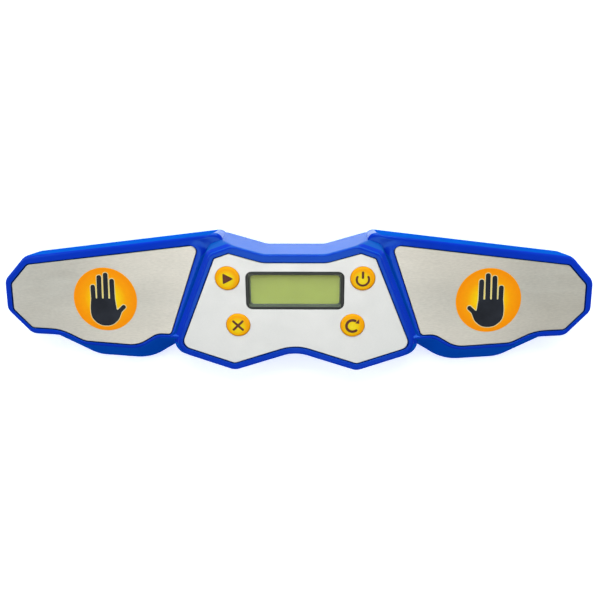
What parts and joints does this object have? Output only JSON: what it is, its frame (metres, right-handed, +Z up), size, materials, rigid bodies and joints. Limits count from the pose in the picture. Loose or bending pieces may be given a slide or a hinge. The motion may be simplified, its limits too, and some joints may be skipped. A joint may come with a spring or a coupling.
{
  "type": "speed cube timer",
  "caption": "Flat tabletop touch timer: a tilted display console with push buttons between metal-topped touch wings, on rubber feet, with a battery door below.",
  "frame": {"origin": "centre of the rectangle round the whole outline, on the surface that the feet stand on", "axes": "+X to the user's right, +Y away from the user, +Z up"},
  "size_m": [0.292, 0.0712, 0.0258],
  "materials": {
    "housing_blue": "glossy moulded ABS",
    "face_silver": "satin, fine grain",
    "touch_metal": "satin, finely brushed",
    "bezel_dark": "satin moulded",
    "window_clear": "clear, polished",
    "display_green": "liquid crystal glass, blank",
    "holder_white": "moulded",
    "zebra_rubber": "conductive elastomer",
    "button_amber": "glossy, orange edge to yellow centre",
    "switch_black": "moulded",
    "plunger_ivory": "moulded",
    "board_green": "solder mask",
    "chip_black": "moulded",
    "nickel": "nickel plated",
    "screw_steel": "zinc plated",
    "lead_red": "PVC insulation",
    "cell_jacket": "printed sleeve, bare",
    "foot_rubber": "matte"
  },
  "bodies": {
    "casing": {"upper_housing": "housing_blue", "lower_housing": "housing_blue", "face_plate": "face_silver", "left_touch_plate": "touch_metal", "right_touch_plate": "touch_metal", "display_bezel": "bezel_dark", "display_window": "window_clear", "display_glass": "display_green", "display_holder": "holder_white", "front_zebra_strip": "zebra_rubber", "rear_zebra_strip": "zebra_rubber", "play_switch": "switch_black", "power_switch": "switch_black", "cancel_switch": "switch_black", "reset_switch": "switch_black", "main_board": "board_green", "controller_chip": "chip_black", "crystal": "nickel", "board_screws": "screw_steel", "left_touch_lead": "lead_red", "right_touch_lead": "lead_red", "left_lead_nut": "screw_steel", "right_lead_nut": "screw_steel", "front_cell": "cell_jacket", "rear_cell": "cell_jacket", "positive_contact": "nickel", "negative_contact": "nickel", "bridge_contact": "nickel", "housing_screws": "screw_steel", "left_front_foot": "foot_rubber", "left_rear_foot": "foot_rubber", "right_front_foot": "foot_rubber", "right_rear_foot": "foot_rubber", "console_left_foot": "foot_rubber", "console_right_foot": "foot_rubber"},
    "play_key": {"play_button": "button_amber", "play_plunger": "plunger_ivory"},
    "power_key": {"power_button": "button_amber", "power_plunger": "plunger_ivory"},
    "cancel_key": {"cancel_button": "button_amber", "cancel_plunger": "plunger_ivory"},
    "reset_key": {"reset_button": "button_amber", "reset_plunger": "plunger_ivory"},
    "door": {"battery_door": "housing_blue"}
  },
  "joints": [
    {"name": "play_press", "type": "slide", "parent": "casing", "child": "play_key", "axis": [0, 0.1132, -0.9936], "range_m": [0, 0.0004], "stiffness_N_per_m": 1500, "springref_m": -0.0003},
    {"name": "power_press", "type": "slide", "parent": "casing", "child": "power_key", "axis": [0, 0.1132, -0.9936], "range_m": [0, 0.0004], "stiffness_N_per_m": 1500, "springref_m": -0.0003},
    {"name": "cancel_press", "type": "slide", "parent": "casing", "child": "cancel_key", "axis": [0, 0.1132, -0.9936], "range_m": [0, 0.0004], "stiffness_N_per_m": 1500, "springref_m": -0.0003},
    {"name": "reset_press", "type": "slide", "parent": "casing", "child": "reset_key", "axis": [0, 0.1132, -0.9936], "range_m": [0, 0.0004], "stiffness_N_per_m": 1500, "springref_m": -0.0003},
    {"name": "door_swing", "type": "hinge", "parent": "casing", "child": "door", "pos_m": [0, -0.00203, 0.00195], "axis": [-1, 0, 0], "range_deg": [0, 70]}
  ]
}
